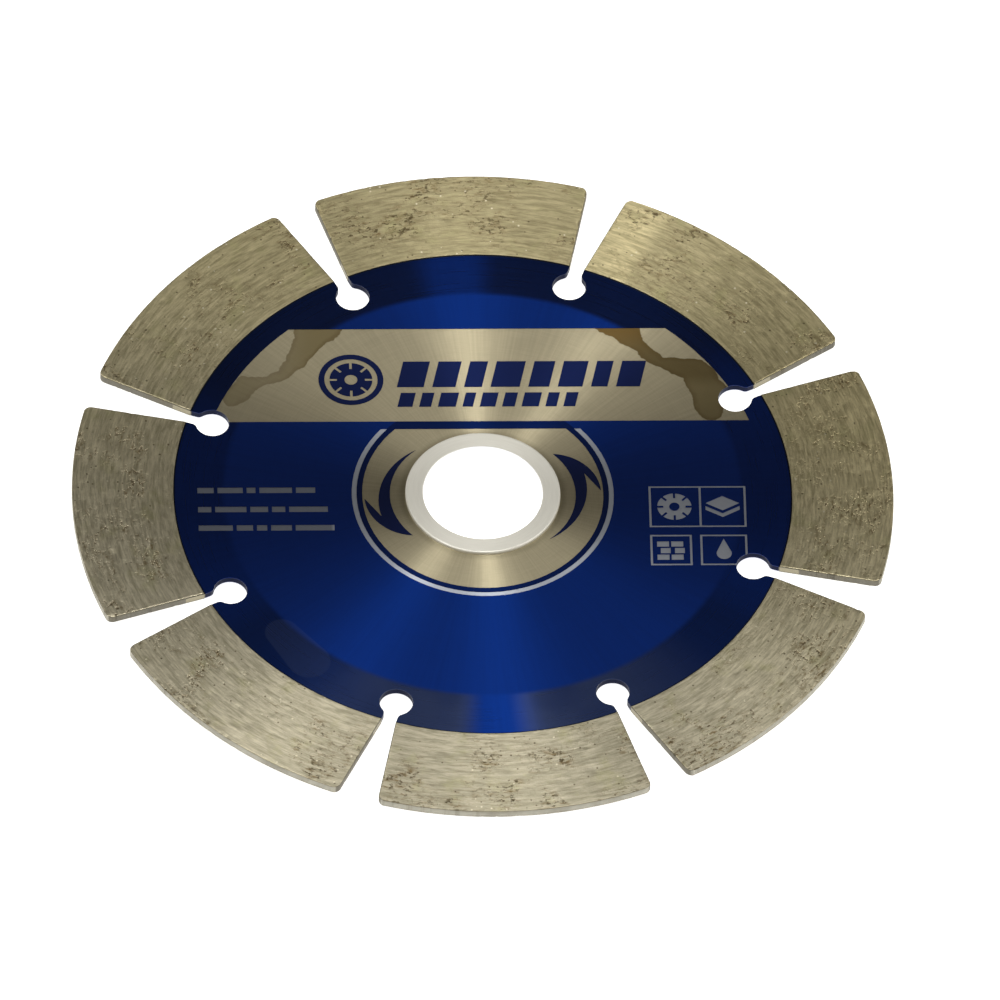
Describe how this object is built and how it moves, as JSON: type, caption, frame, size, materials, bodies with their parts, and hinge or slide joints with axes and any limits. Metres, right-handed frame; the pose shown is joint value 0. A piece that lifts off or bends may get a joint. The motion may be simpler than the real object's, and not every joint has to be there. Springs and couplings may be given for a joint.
{
  "type": "diamond blade",
  "caption": "Flat round diamond saw blade with a segmented sintered rim, tapered keyhole slots, a lacquered steel core and a reducer bush in the bore.",
  "frame": {"origin": "centre of the bore, on the middle plane of the steel core", "axes": "+Z along the bore's axis, out of the printed front face; +X and +Y through the middles of segments 1 and 3"},
  "size_m": [0.11, 0.11, 0.0015],
  "materials": {
    "core_steel": "ground in fine rings round the bore, bare where the lacquer leaves it open",
    "diamond_layer": "sintered bronze and iron powder with diamond grit, ground on both faces, with dark pits",
    "sintered_base": "sintered bronze and iron powder without grit, ground flush with the diamond layer",
    "bush_metal": "matte turned faces with a bright rounded edge",
    "blue_lacquer": "clear blue lacquer over brushed steel, glossy"
  },
  "bodies": {
    "blade": {"core": "core_steel", "segment_base_1": "sintered_base", "segment_base_2": "sintered_base", "segment_base_3": "sintered_base", "segment_base_4": "sintered_base", "segment_base_5": "sintered_base", "segment_base_6": "sintered_base", "segment_base_7": "sintered_base", "segment_base_8": "sintered_base", "segment_1": "diamond_layer", "segment_2": "diamond_layer", "segment_3": "diamond_layer", "segment_4": "diamond_layer", "segment_5": "diamond_layer", "segment_6": "diamond_layer", "segment_7": "diamond_layer", "segment_8": "diamond_layer", "lacquer_front": "blue_lacquer", "lacquer_back": "blue_lacquer"},
    "reducer": {"reducer_bush": "bush_metal"}
  },
  "joints": [
    {"name": "bush_push_out", "type": "slide", "parent": "blade", "child": "reducer", "axis": [0, 0, 1], "range_m": [0, 0.006]}
  ]
}
